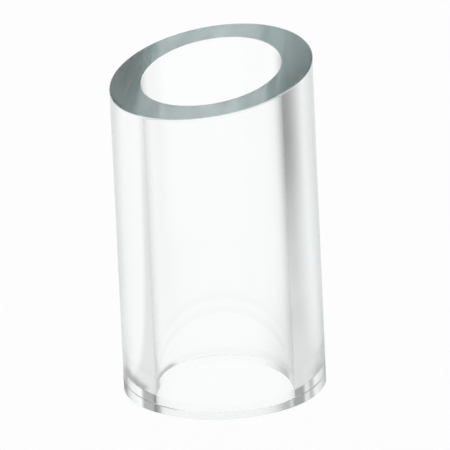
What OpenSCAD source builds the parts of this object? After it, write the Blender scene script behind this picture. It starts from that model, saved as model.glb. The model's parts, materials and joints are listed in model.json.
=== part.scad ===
// Guitar slide: one thick glass tube worn on a finger.
// One end is cut square and the other is cut at a slant.
// The origin is on the tube's axis at the square end. +Z runs up the tube, and the wall is longest at +X.

/* [Tube] */
// Outside diameter of the glass
outer_d = 29; // [26:0.5:34]
// Diameter of the bore that the finger goes into
bore_d = 20; // [16:0.5:22]

/* [Ends] */
// Length of the wall on its long side, before the rim is bevelled
long_side = 50; // [35:1:70]
// Slant of the cut end, in degrees away from square
cut_angle = 10; // [0:1:20]
// Radius that rounds both rims of the square end
foot_round = 0.4; // [0.2:0.1:0.8]
// Least width of the bevel on both rims of the slanted end
rim_bevel = 0.3; // [0.1:0.1:0.6]

/* [Hidden] */
$fn = 128;
outer_r = outer_d / 2;
bore_r = bore_d / 2;
wall = outer_r - bore_r;
// Height at which the slanted cut crosses the tube's axis
axis_length = long_side - outer_r * tan(cut_angle);
// How far a cutter runs past the face it cuts
over = 1;

module glass_tube() {
    color([0.80, 0.87, 0.86, 0.45])
    difference() {
        tube_blank();
        slant_frame() {
            waste_above_cut();
            outer_rim_cutter();
            bore_rim_cutter();
        }
    }
}

// The tube before its slanted end is cut, with both rims of its square end rounded.
module tube_blank() {
    rotate_extrude()
    translate([bore_r, 0])
    difference() {
        square([wall, long_side + over]);
        rim_corner();
        translate([wall, 0]) mirror([1, 0]) rim_corner();
    }
}

// What is taken off a square corner at the origin to leave a quarter round.
module rim_corner() {
    difference() {
        square(foot_round);
        translate([foot_round, foot_round]) circle(r = foot_round);
    }
}

// Places its children on the slanted end: z = 0 is its face, and +X points up the slope.
module slant_frame() {
    translate([0, 0, axis_length]) rotate([0, -cut_angle, 0]) children();
}

// The slanted face's half width up the slope, where it is an ellipse, for a wall of radius r.
function slope_r(r) = r / cos(cut_angle);

module waste_above_cut() {
    size = 2 * (slope_r(outer_r) + over);
    height = 2 * long_side;
    translate([-size / 2, -size / 2, 0]) cube([size, size, height]);
}

// A ring with a 45 degree flank that crosses the face at radius r. side is 1 to cut outside it and -1 to cut inside it.
module flank_cutter(r, reach, side) {
    rotate_extrude()
    polygon([
        [r - side * over, over],
        [r + side * reach, -reach],
        [r + side * reach, over]
    ]);
}

// The bevel is ground by a cone square to the slanted face, so it is widest where the ellipse is longest.
module outer_rim_cutter() {
    face_r = outer_r - rim_bevel;
    flank_cutter(face_r, slope_r(outer_r) - face_r + over, 1);
}

// The countersink clears the bore all round, so it is widest across the slope.
module bore_rim_cutter() {
    face_r = slope_r(bore_r) + rim_bevel;
    flank_cutter(face_r, face_r - bore_r + over, -1);
}

glass_tube();
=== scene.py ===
"""A glass guitar slide, dressed in clear glass and lit in a plain white studio."""

import json
import logging
import math
from dataclasses import dataclass
from enum import Enum

import bmesh
import bpy
from mathutils import Matrix, Vector


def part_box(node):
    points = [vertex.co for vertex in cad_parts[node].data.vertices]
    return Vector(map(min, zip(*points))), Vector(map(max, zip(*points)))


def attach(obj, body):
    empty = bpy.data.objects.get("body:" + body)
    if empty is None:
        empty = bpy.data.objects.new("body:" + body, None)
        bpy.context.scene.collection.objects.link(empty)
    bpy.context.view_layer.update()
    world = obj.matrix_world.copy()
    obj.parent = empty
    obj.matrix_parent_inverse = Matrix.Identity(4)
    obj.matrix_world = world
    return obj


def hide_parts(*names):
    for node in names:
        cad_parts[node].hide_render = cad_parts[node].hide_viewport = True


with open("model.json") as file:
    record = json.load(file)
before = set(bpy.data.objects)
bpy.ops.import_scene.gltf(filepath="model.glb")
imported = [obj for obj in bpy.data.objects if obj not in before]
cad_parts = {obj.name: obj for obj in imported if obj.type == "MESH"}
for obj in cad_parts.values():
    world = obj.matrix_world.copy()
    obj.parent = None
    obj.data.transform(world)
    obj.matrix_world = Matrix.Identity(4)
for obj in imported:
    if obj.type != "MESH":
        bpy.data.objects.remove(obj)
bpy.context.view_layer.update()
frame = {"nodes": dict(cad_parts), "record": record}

TUBE_NODE = "glass_tube"
BORE_MOUNT = "finger_bore"
GROUND_MASK = "ground"
MM = 0.001
# A face of the solid that points up more than this is on the flat of the slanted end.
SLANT_LEAST = 0.9

Colour = tuple[float, float, float]
# Pairs of where a tone is and how bright it is, in order.
Stops = tuple[tuple[float, float], ...]

WHITE: Colour = (1.0, 1.0, 1.0)

log = logging.getLogger("guitar_slide")


class Ray(Enum):
    """The kinds of ray that the floor tells apart."""

    CAMERA = "Is Camera Ray"
    GLOSSY = "Is Glossy Ray"
    TRANSMISSION = "Is Transmission Ray"


class Wiring:
    """Adds nodes to one tree and joins them."""

    def __init__(self, tree: bpy.types.NodeTree) -> None:
        """Keeps the tree that the nodes go in."""
        self.tree = tree

    def feed(self, socket: bpy.types.NodeSocket, value: object) -> None:
        """Joins a socket to an output, or gives it a plain value.

        Args:
            socket: The input to fill.
            value: An output socket, a number, a colour or a vector.
        """
        if isinstance(value, bpy.types.NodeSocket):
            self.tree.links.new(value, socket)
        else:
            socket.default_value = value

    def add(
        self, kind: str, inputs: dict[str, object] | None = None, **settings: object
    ) -> bpy.types.Node:
        """Adds a node.

        Args:
            kind: The node's type.
            inputs: Values or outputs for its inputs, by name.
            **settings: The node's own settings.

        Returns:
            The new node.
        """
        node = self.tree.nodes.new(kind)
        for name, value in settings.items():
            setattr(node, name, value)
        for name, value in (inputs or {}).items():
            self.feed(node.inputs[name], value)
        return node

    def sum(self, operation: str, *values: object) -> bpy.types.NodeSocket:
        """Works out one sum.

        Args:
            operation: The Math node's operation.
            *values: Its numbers or outputs, in order.

        Returns:
            The answer's output.
        """
        node = self.add("ShaderNodeMath", operation=operation)
        for socket, value in zip(node.inputs, values):
            self.feed(socket, value)
        return node.outputs["Value"]

    def stretch(
        self, value: object, given: tuple[float, float], wanted: tuple[float, float] = (0.0, 1.0)
    ) -> bpy.types.NodeSocket:
        """Maps one range of numbers onto another, easing in and out of it.

        Args:
            value: The number to map.
            given: The range that it comes in.
            wanted: The range that it goes out in.

        Returns:
            The mapped number's output.
        """
        names = ("From Min", "From Max", "To Min", "To Max")
        inputs = dict(zip(names, (*given, *wanted)), Value=value)
        node = self.add("ShaderNodeMapRange", inputs, interpolation_type="SMOOTHSTEP")
        return node.outputs["Result"]

    def mix(self, amount: object, low: object, high: object) -> bpy.types.NodeSocket:
        """Mixes two numbers, from the low one at an amount of 0 to the high one at 1."""
        return self.add("ShaderNodeMix", {"Factor": amount, "A": low, "B": high}).outputs["Result"]

    def mix_colour(self, amount: object, low: object, high: object) -> bpy.types.NodeSocket:
        """Mixes two colours.

        Args:
            amount: How much of the second one there is.
            low: The first colour.
            high: The second colour.

        Returns:
            The mixed colour's output.
        """
        node = self.add("ShaderNodeMix", {"Factor": amount}, data_type="RGBA")
        colours = [socket for socket in node.inputs if socket.type == "RGBA"]
        self.feed(colours[0], low)
        self.feed(colours[1], high)
        return next(socket for socket in node.outputs if socket.type == "RGBA")

    def ramp(self, place: object, stops: Stops) -> bpy.types.NodeSocket:
        """Reads a tone off a ramp.

        Args:
            place: The number to read the ramp at.
            stops: Where each tone is, in the number's own units, and the tone.

        Returns:
            The tone's output.
        """
        first, last = stops[0][0], stops[-1][0]
        spread = {"Value": place, "From Min": first, "From Max": last}
        along = self.add("ShaderNodeMapRange", spread)
        node = self.add("ShaderNodeValToRGB", {"Fac": along.outputs["Result"]})
        marks = node.color_ramp.elements
        # A new ramp has a mark at each end.
        for _ in stops[2:]:
            marks.new(0.5)
        for mark, (where, tone) in zip(marks, stops):
            mark.position = (where - first) / (last - first)
            mark.color = (tone, tone, tone, 1.0)
        return node.outputs["Color"]

    def bearing(self, vector: bpy.types.NodeSocket, azimuth: float) -> bpy.types.NodeSocket:
        """Finds how far round to the right of straight behind the slide a place is.

        Args:
            vector: The place, or the direction.
            azimuth: The camera's azimuth, in degrees.

        Returns:
            The bearing's output, in degrees from -180 to 180.
        """
        turned = self.add(
            "ShaderNodeVectorRotate",
            {"Vector": vector, "Angle": math.radians(-azimuth)},
            rotation_type="Z_AXIS",
        )
        axes = self.add("ShaderNodeSeparateXYZ", {"Vector": turned.outputs["Vector"]})
        angle = self.sum("ARCTAN2", axes.outputs["X"], axes.outputs["Y"])
        return self.sum("DEGREES", angle)


class SurfaceMarks:
    """A node group for soft marks of one size, which may be drawn out along the tube."""

    NAME = "surface_marks"

    @classmethod
    def group(cls) -> bpy.types.NodeTree:
        """Builds the group once.

        Returns:
            The group, which puts out how strong the marks are at each place.
        """
        if cls.NAME in bpy.data.node_groups:
            return bpy.data.node_groups[cls.NAME]
        tree = bpy.data.node_groups.new(cls.NAME, "ShaderNodeTree")
        for name, kind in (
            ("Vector", "NodeSocketVector"),
            ("Size", "NodeSocketFloat"),
            ("Drawn Out", "NodeSocketFloat"),
            ("Detail", "NodeSocketFloat"),
        ):
            tree.interface.new_socket(name, in_out="INPUT", socket_type=kind)
        tree.interface.new_socket("Marks", in_out="OUTPUT", socket_type="NodeSocketFloat")
        wiring = Wiring(tree)
        given = wiring.add("NodeGroupInput").outputs
        along = wiring.sum("DIVIDE", 1.0, given["Drawn Out"])
        squash = wiring.add("ShaderNodeCombineXYZ", {"X": 1.0, "Y": 1.0, "Z": along})
        place = wiring.add("ShaderNodeVectorMath", operation="MULTIPLY")
        wiring.feed(place.inputs[0], given["Vector"])
        wiring.feed(place.inputs[1], squash.outputs["Vector"])
        noise = wiring.add(
            "ShaderNodeTexNoise",
            {
                "Vector": place.outputs["Vector"],
                "Scale": wiring.sum("DIVIDE", 1.0, given["Size"]),
                "Detail": given["Detail"],
                "Roughness": 0.5,
            },
        )
        wiring.add("NodeGroupOutput", {"Marks": noise.outputs["Fac"]})
        return tree

    @classmethod
    def place(
        cls,
        wiring: Wiring,
        vector: bpy.types.NodeSocket,
        size: float,
        drawn_out: float = 1.0,
        detail: float = 2.0,
    ) -> bpy.types.NodeSocket:
        """Puts the group in a material.

        Args:
            wiring: The material's wiring.
            vector: The place on the piece.
            size: How big the marks are, in metres.
            drawn_out: How many times longer they are along the tube.
            detail: How much finer detail they carry.

        Returns:
            The marks' output, from 0 to 1.
        """
        node = wiring.add("ShaderNodeGroup", node_tree=cls.group())
        given = {"Vector": vector, "Size": size, "Drawn Out": drawn_out, "Detail": detail}
        for name, value in given.items():
            wiring.feed(node.inputs[name], value)
        return node.outputs["Marks"]


@dataclass(frozen=True)
class GlassFinish:
    """Clear drawn glass, fine-ground on its slanted end."""

    name: str = "clear_glass"
    ior: float = 1.5
    tint: Colour = (0.39, 0.64, 0.625)
    density: float = 6.0
    # Painted shade: the base colour greys towards this where the glass is seen at a glancing
    # angle, so the silhouettes read darker.
    edge: Colour = (0.42, 0.47, 0.47)
    edge_shade_from: tuple[float, float] = (0.5, 0.95)
    polished: tuple[float, float] = (0.0, 0.08)
    ground: tuple[float, float] = (0.17, 0.22)
    smudge_size: float = 9.0 * MM
    smudge_length: float = 2.0
    smudge_range: tuple[float, float] = (0.45, 0.75)
    draw_line_size: float = 1.6 * MM
    draw_line_length: float = 60.0
    draw_line_depth: float = 0.0012 * MM
    grain_size: float = 0.12 * MM
    grain_depth: float = 0.0015 * MM
    mottle_size: float = 1.8 * MM
    mottle_range: tuple[float, float] = (0.3, 0.7)

    def build(self) -> bpy.types.Material:
        """Makes the material.

        Returns:
            The finished glass material.
        """
        material = bpy.data.materials.new(self.name)
        material.use_nodes = True
        wiring = Wiring(material.node_tree)
        nodes = material.node_tree.nodes
        shader = nodes["Principled BSDF"]
        # Painted shade at the silhouettes: the base colour turns grey where the glass is seen at a
        # glancing angle.
        skim = wiring.add("ShaderNodeLayerWeight", {"Blend": 0.5}).outputs["Facing"]
        edge = wiring.stretch(skim, self.edge_shade_from)
        colour = wiring.mix_colour(edge, (*WHITE, 1.0), (*self.edge, 1.0))
        wiring.feed(shader.inputs["Base Color"], colour)
        wiring.feed(shader.inputs["Transmission Weight"], 1.0)
        wiring.feed(shader.inputs["IOR"], self.ior)
        place = wiring.add("ShaderNodeTexCoord").outputs["Object"]
        cut_face = wiring.add("ShaderNodeAttribute", attribute_name=GROUND_MASK).outputs["Fac"]
        wiring.feed(shader.inputs["Roughness"], self.roughness(wiring, place, cut_face))
        wiring.feed(shader.inputs["Normal"], self.relief(wiring, place, cut_face))
        body = {"Color": (*self.tint, 1.0), "Density": self.density}
        volume = wiring.add("ShaderNodeVolumeAbsorption", body)
        wiring.feed(nodes["Material Output"].inputs["Volume"], volume.outputs["Volume"])
        return material

    def roughness(
        self, wiring: Wiring, place: bpy.types.NodeSocket, cut_face: bpy.types.NodeSocket
    ) -> bpy.types.NodeSocket:
        """Hazes the walls where fingers smudge them, and the slanted end where it is ground.

        Args:
            wiring: The material's wiring.
            place: The place on the piece.
            cut_face: 1 on the ground end and 0 elsewhere.

        Returns:
            The roughness.
        """
        smudges = SurfaceMarks.place(wiring, place, self.smudge_size, self.smudge_length)
        mottle = SurfaceMarks.place(wiring, place, self.mottle_size)
        wall = wiring.stretch(smudges, self.smudge_range, self.polished)
        end = wiring.stretch(mottle, self.mottle_range, self.ground)
        return wiring.mix(cut_face, wall, end)

    def relief(
        self, wiring: Wiring, place: bpy.types.NodeSocket, cut_face: bpy.types.NodeSocket
    ) -> bpy.types.NodeSocket:
        """Raises faint draw lines along the walls, and a fine grain on the ground end.

        Args:
            wiring: The material's wiring.
            place: The place on the piece.
            cut_face: 1 on the ground end and 0 elsewhere.

        Returns:
            The normal.
        """
        lines = SurfaceMarks.place(
            wiring, place, self.draw_line_size, self.draw_line_length, detail=1.0
        )
        grain = SurfaceMarks.place(wiring, place, self.grain_size, detail=1.0)
        wall = wiring.sum("MULTIPLY", lines, self.draw_line_depth)
        end = wiring.sum("MULTIPLY", grain, self.grain_depth)
        height = wiring.mix(cut_face, wall, end)
        bump = wiring.add("ShaderNodeBump", {"Height": height, "Distance": 1.0, "Strength": 1.0})
        return bump.outputs["Normal"]


@dataclass
class GlassTube:
    """The slide's one piece: a thick tube, cut square below and at a slant above."""

    outer_r: float
    bore_r: float
    foot_z: float
    top_z: float
    slant: float
    finish: GlassFinish = GlassFinish()
    segments: int = 361
    foot_round: float = 0.1 * MM
    rim_round: float = 0.3 * MM
    round_steps: int = 4
    rim_angle: float = math.radians(45.0)
    # A face that points up more than this belongs to the slanted end or its rims.
    end_least: float = 0.1
    # Corners closer than this are one corner.
    same_place: float = 0.003 * MM
    # A corner this close to the slanted cut is on it.
    on_cut: float = 0.0003 * MM
    flat_weight: int = 100

    @classmethod
    def from_frame(cls) -> "GlassTube":
        """Reads the tube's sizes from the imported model.

        Returns:
            A tube with the CAD node's own diameter, bore, ends and slant.
        """
        low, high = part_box(TUBE_NODE)
        mounts = {mount["name"]: mount for mount in frame["record"]["mounts"]}
        bore_r = mounts[BORE_MOUNT]["dims"]["r_mm"] * MM
        mesh = frame["nodes"][TUBE_NODE].data
        flats = [face for face in mesh.polygons if face.normal.z > SLANT_LEAST]
        normal = sum((face.normal * face.area for face in flats), Vector()).normalized()
        slant = math.atan2(-normal.x, normal.z)
        return cls((high.x - low.x) / 2, bore_r, low.z, high.z, slant)

    @property
    def axis_top(self) -> float:
        """Height where the slanted cut crosses the tube's axis."""
        return self.top_z - (self.outer_r - self.rim_round) * math.tan(self.slant)

    def build(self) -> bpy.types.Object:
        """Turns the wall's section round the axis, cuts the slanted end and rounds the rims.

        Returns:
            The tube as an object at the origin.
        """
        bm = bmesh.new()
        self.turn_wall(bm)
        self.cut_slant(bm)
        self.round_rims(bm)
        bmesh.ops.recalc_face_normals(bm, faces=bm.faces)
        self.mark_ground(bm)
        mesh = bpy.data.meshes.new("slide_glass")
        bm.to_mesh(mesh)
        bm.free()
        mesh.shade_smooth()
        piece = bpy.data.objects.new("slide_glass", mesh)
        bpy.context.scene.collection.objects.link(piece)
        keep_flats = piece.modifiers.new("keep_flats", "WEIGHTED_NORMAL")
        keep_flats.weight = self.flat_weight
        return piece

    def turn_wall(self, bm: bmesh.types.BMesh) -> None:
        """Spins the wall's section into a closed ring, taller than the finished tube.

        Args:
            bm: The mesh to build in.
        """
        blank_top = self.top_z + self.outer_r
        section = [
            (self.bore_r, self.foot_z),
            (self.outer_r, self.foot_z),
            (self.outer_r, blank_top),
            (self.bore_r, blank_top),
        ]
        corners = [bm.verts.new((x, 0.0, z)) for x, z in section]
        sides = [bm.edges.new((a, b)) for a, b in zip(corners, corners[1:] + corners[:1])]
        bmesh.ops.spin(
            bm,
            geom=corners + sides,
            cent=(0.0, 0.0, 0.0),
            axis=(0.0, 0.0, 1.0),
            angle=math.tau,
            steps=self.segments,
            use_merge=True,
        )
        bmesh.ops.remove_doubles(bm, verts=bm.verts, dist=self.same_place)

    def cut_slant(self, bm: bmesh.types.BMesh) -> None:
        """Cuts the top off along the slanted plane and closes the wall with a flat ring.

        Args:
            bm: The mesh to cut.
        """
        bmesh.ops.bisect_plane(
            bm,
            geom=bm.verts[:] + bm.edges[:] + bm.faces[:],
            dist=self.on_cut,
            plane_co=(0.0, 0.0, self.axis_top),
            plane_no=(-math.sin(self.slant), 0.0, math.cos(self.slant)),
            clear_outer=True,
        )
        rims = [edge for edge in bm.edges if edge.is_boundary]
        bmesh.ops.bridge_loops(bm, edges=rims)

    def round_rims(self, bm: bmesh.types.BMesh) -> None:
        """Rounds the two rims of each end.

        Args:
            bm: The mesh to round.
        """
        rims = [
            edge
            for edge in bm.edges
            if edge.is_manifold and edge.calc_face_angle() > self.rim_angle
        ]
        middle = (self.foot_z + self.axis_top) / 2
        for width, chosen in (
            (self.foot_round, [edge for edge in rims if edge.verts[0].co.z < middle]),
            (self.rim_round, [edge for edge in rims if edge.verts[0].co.z > middle]),
        ):
            bmesh.ops.bevel(
                bm,
                geom=chosen,
                offset=width,
                offset_type="OFFSET",
                affect="EDGES",
                segments=self.round_steps,
                profile=0.5,
                material=-1,
            )

    def mark_ground(self, bm: bmesh.types.BMesh) -> None:
        """Marks the faces of the slanted end and its rims, which are ground and not drawn.

        Args:
            bm: The finished mesh.
        """
        mask = bm.faces.layers.float.new(GROUND_MASK)
        for face in bm.faces:
            if face.normal.z > self.end_least:
                face[mask] = 1.0

    def dress(self, piece: bpy.types.Object) -> None:
        """Gives the tube its glass, hides the CAD node and hangs the tube on the root body.

        Args:
            piece: The tube's object.
        """
        piece.data.materials.append(self.finish.build())
        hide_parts(TUBE_NODE)
        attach(piece, "root")


@dataclass(frozen=True)
class PaintedFloorShade:
    """A painted shade on part of the floor, between two bearings, that reads darker in the glass.

    The bearings are in degrees to the right of straight behind the slide, and a shade that
    runs past -180 or 180 doesn't fade there. The tones are read by how far the floor is from
    the tube's axis, in millimetres, and there is no shade nearer than the first of them.
    """

    start: float
    full_from: float
    full_to: float
    end: float
    tones: Stops

    def tone(
        self, wiring: Wiring, bearing: bpy.types.NodeSocket, reach: bpy.types.NodeSocket
    ) -> bpy.types.NodeSocket:
        """Works out the shade's tone.

        Args:
            wiring: The floor's wiring.
            bearing: The place's bearing, in degrees.
            reach: How far the place is from the tube's axis, in metres.

        Returns:
            The tone, from 0 for black to 1 where nothing is shaded.
        """
        stops = tuple((distance * MM, tone) for distance, tone in self.tones)
        shaded = wiring.ramp(reach, stops)
        entered = wiring.stretch(bearing, (self.start, self.full_from))
        left = wiring.stretch(bearing, (self.full_to, self.end))
        between = wiring.sum("MULTIPLY", entered, wiring.sum("SUBTRACT", 1.0, left))
        outside = wiring.sum("GREATER_THAN", reach, self.tones[0][0] * MM)
        return wiring.mix(wiring.sum("MULTIPLY", between, outside), 1.0, shaded)


@dataclass(frozen=True)
class Floor:
    """A white paper floor that keeps a faint shadow of the slide.

    The camera sees most of it as plain white, and the glass sees its painted shades.
    """

    size: float = 6.0
    white: float = 0.97
    seen_glow: float = 0.92
    glass_glow: float = 0.98
    air_gap: float = 0.05 * MM
    shades: tuple[PaintedFloorShade, ...] = (
        # Painted contact shadow under the glass, all round, and darker still on the left and
        # towards the camera.
        PaintedFloorShade(-182.0, -181.0, 181.0, 182.0, ((10.6, 0.25), (13.8, 0.25), (13.9, 1.0))),
        PaintedFloorShade(-182.0, -181.0, -90.0, -75.0, ((10.6, 0.0), (13.8, 0.0), (13.9, 1.0))),
        # Painted contact shadow close round the foot, on the right and on the left.
        PaintedFloorShade(48.0, 58.0, 72.0, 84.0, ((14.5, 0.8), (15.4, 0.8), (16.8, 1.0))),
        PaintedFloorShade(-100.0, -88.0, -48.0, -36.0, ((14.5, 0.5), (15.4, 0.5), (16.8, 1.0))),
        # Painted shade to the right, near the slide and then farther away.
        PaintedFloorShade(
            16.0, 66.0, 94.0, 130.0, ((14.5, 0.75), (28.0, 0.75), (42.0, 0.67), (56.0, 1.0))
        ),
        PaintedFloorShade(
            16.0,
            66.0,
            70.0,
            92.0,
            ((42.0, 1.0), (56.0, 0.64), (66.0, 0.62), (87.0, 0.5), (99.0, 0.38), (115.0, 0.3)),
        ),
        # Painted shade to the left.
        PaintedFloorShade(
            -130.0, -118.0, -70.0, -58.0, ((14.5, 0.82), (66.0, 0.78), (99.0, 0.8), (115.0, 0.85))
        ),
        # Painted shade towards the camera, on both sides.
        PaintedFloorShade(95.0, 120.0, 181.0, 182.0, ((14.5, 0.8), (40.0, 0.8), (70.0, 1.0))),
        PaintedFloorShade(-182.0, -181.0, -120.0, -95.0, ((14.5, 0.8), (40.0, 0.8), (70.0, 1.0))),
    )

    def lay(self, azimuth: float) -> None:
        """Lays the floor just under the slide.

        Args:
            azimuth: The camera's azimuth, in degrees.
        """
        bm = bmesh.new()
        bmesh.ops.create_grid(bm, x_segments=1, y_segments=1, size=self.size / 2)
        bmesh.ops.translate(bm, verts=bm.verts, vec=(0.0, 0.0, -self.air_gap))
        mesh = bpy.data.meshes.new("floor")
        bm.to_mesh(mesh)
        bm.free()
        floor = bpy.data.objects.new("floor", mesh)
        bpy.context.scene.collection.objects.link(floor)
        mesh.materials.append(self.paper(azimuth))

    def paper(self, azimuth: float) -> bpy.types.Material:
        """Makes the floor's paper.

        Args:
            azimuth: The camera's azimuth, in degrees.

        Returns:
            Paper that reads as white to the camera, and as white or with painted shade in the
            glass.
        """
        material = bpy.data.materials.new("white_paper")
        material.use_nodes = True
        wiring = Wiring(material.node_tree)
        nodes = material.node_tree.nodes
        nodes.remove(nodes["Principled BSDF"])
        rays = wiring.add("ShaderNodeLightPath").outputs
        white = (self.white, self.white, self.white, 1.0)
        paper = wiring.add("ShaderNodeBsdfDiffuse", {"Color": white})
        # The camera sees the glow at full strength; in the glass it carries the painted shades.
        level = wiring.mix(rays[Ray.CAMERA.value], self.tone(wiring, azimuth), 1.0)
        glow = wiring.add("ShaderNodeEmission", {"Strength": level})
        share = wiring.sum("MULTIPLY", rays[Ray.CAMERA.value], self.seen_glow)
        for ray in (Ray.GLOSSY, Ray.TRANSMISSION):
            in_glass = wiring.sum("MULTIPLY", rays[ray.value], self.glass_glow)
            share = wiring.sum("MAXIMUM", share, in_glass)
        both = wiring.add("ShaderNodeMixShader", {"Fac": share})
        wiring.feed(both.inputs[1], paper.outputs["BSDF"])
        wiring.feed(both.inputs[2], glow.outputs["Emission"])
        wiring.feed(nodes["Material Output"].inputs["Surface"], both.outputs["Shader"])
        return material

    def tone(self, wiring: Wiring, azimuth: float) -> bpy.types.NodeSocket:
        """Works out how bright each place on the floor reads in the glass, with its painted
        shades.

        Args:
            wiring: The floor's wiring.
            azimuth: The camera's azimuth, in degrees.

        Returns:
            The tone, from 0 to 1.
        """
        place = wiring.add("ShaderNodeTexCoord").outputs["Object"]
        length = wiring.add("ShaderNodeVectorMath", operation="LENGTH")
        wiring.feed(length.inputs[0], place)
        reach = length.outputs["Value"]
        bearing = wiring.bearing(place, azimuth)
        tone = 1.0
        for shade in self.shades:
            tone = wiring.sum("MULTIPLY", tone, shade.tone(wiring, bearing, reach))
        return tone


@dataclass(frozen=True)
class Dome:
    """A soft white dome. It is bright overhead, and dimmer in places round its sides.

    The overhead tones are read by height, from 0 at the floor to 1 straight up, and the
    sides' tones by bearing, in degrees to the right of straight behind the slide.
    """

    overhead: Stops = ((0.62, 1.6), (0.8, 1.2), (0.92, 0.8), (1.0, 0.8))
    rise: tuple[float, float] = (0.6, 0.68)
    sides: Stops = (
        (-180.0, 0.22),
        (-65.0, 0.22),
        (-58.0, 0.42),
        (-38.0, 0.42),
        (-30.0, 1.05),
        (8.0, 1.02),
        (14.0, 0.9),
        (20.0, 0.62),
        (27.0, 0.44),
        (35.0, 0.77),
        (41.0, 0.77),
        (48.0, 0.35),
        (105.0, 0.4),
        (125.0, 0.22),
        (180.0, 0.22),
    )

    def hang(self, azimuth: float) -> None:
        """Makes the dome the scene's light.

        Args:
            azimuth: The camera's azimuth, in degrees.
        """
        world = bpy.data.worlds.new("white_dome")
        bpy.context.scene.world = world
        world.use_nodes = True
        wiring = Wiring(world.node_tree)
        way = wiring.add("ShaderNodeTexCoord").outputs["Generated"]
        height = wiring.add("ShaderNodeSeparateXYZ", {"Vector": way}).outputs["Z"]
        side = wiring.ramp(wiring.bearing(way, azimuth), self.sides)
        overhead = wiring.ramp(height, self.overhead)
        light = wiring.mix(wiring.stretch(height, self.rise), side, overhead)
        seen = wiring.add("ShaderNodeLightPath").outputs[Ray.CAMERA.value]
        sky = world.node_tree.nodes["Background"]
        wiring.feed(sky.inputs["Color"], (*WHITE, 1.0))
        wiring.feed(sky.inputs["Strength"], wiring.mix(seen, light, 1.0))


@dataclass(frozen=True)
class Camera:
    """A long lens that looks down on the slide from beside its slope.

    The angles are in degrees, the lens in millimetres and the rest in metres.
    """

    azimuth: float = -44.0
    elevation: float = 20.3
    roll: float = 2.6
    distance: float = 1.45
    lens: float = 814.0
    aim_right: float = 1.0 * MM
    aim_up: float = 0.41 * MM
    sight: float = 20.0

    def place(self, target: Vector) -> None:
        """Makes the camera and aims it.

        Args:
            target: The point in the middle of the view.
        """
        data = bpy.data.cameras.new("camera")
        data.lens = self.lens
        data.clip_end = self.sight
        camera = bpy.data.objects.new("camera", data)
        bpy.context.scene.collection.objects.link(camera)
        rise = math.radians(self.elevation)
        turn = Matrix.Rotation(math.radians(self.azimuth), 3, "Z")
        back = turn @ Vector((0.0, -math.cos(rise), math.sin(rise)))
        tilt = Matrix.Rotation(math.radians(-self.roll), 4, "Z").to_quaternion()
        camera.rotation_mode = "QUATERNION"
        camera.rotation_quaternion = (-back).to_track_quat("-Z", "Y") @ tilt
        shift = camera.rotation_quaternion @ Vector((self.aim_right, self.aim_up, 0.0))
        camera.location = target + shift + back * self.distance
        bpy.context.scene.camera = camera


@dataclass(frozen=True)
class Studio:
    """The camera, the floor and the light that the slide is shown in."""

    camera: Camera = Camera()
    floor: Floor = Floor()
    dome: Dome = Dome()
    bounces: int = 96

    def set_up(self, target: Vector) -> None:
        """Puts everything round the slide.

        Args:
            target: The point in the middle of the view.
        """
        self.camera.place(target)
        self.floor.lay(self.camera.azimuth)
        self.dome.hang(self.camera.azimuth)
        scene = bpy.context.scene
        scene.view_settings.view_transform = "Standard"
        scene.cycles.blur_glossy = 0.0
        scene.cycles.max_bounces = self.bounces
        scene.cycles.glossy_bounces = self.bounces
        scene.cycles.transmission_bounces = self.bounces
        log.info("studio: floor, dome and camera")


def main() -> None:
    """Builds the slide and its studio."""
    logging.basicConfig(level=logging.INFO, format="%(name)s: %(message)s")
    tube = GlassTube.from_frame()
    piece = tube.build()
    tube.dress(piece)
    faces = len(piece.data.polygons)
    log.info("%s: %d faces, slant %.2f degrees", piece.name, faces, math.degrees(tube.slant))
    Studio().set_up(Vector((0.0, 0.0, tube.axis_top / 2)))


if __name__ == "__main__":
    main()
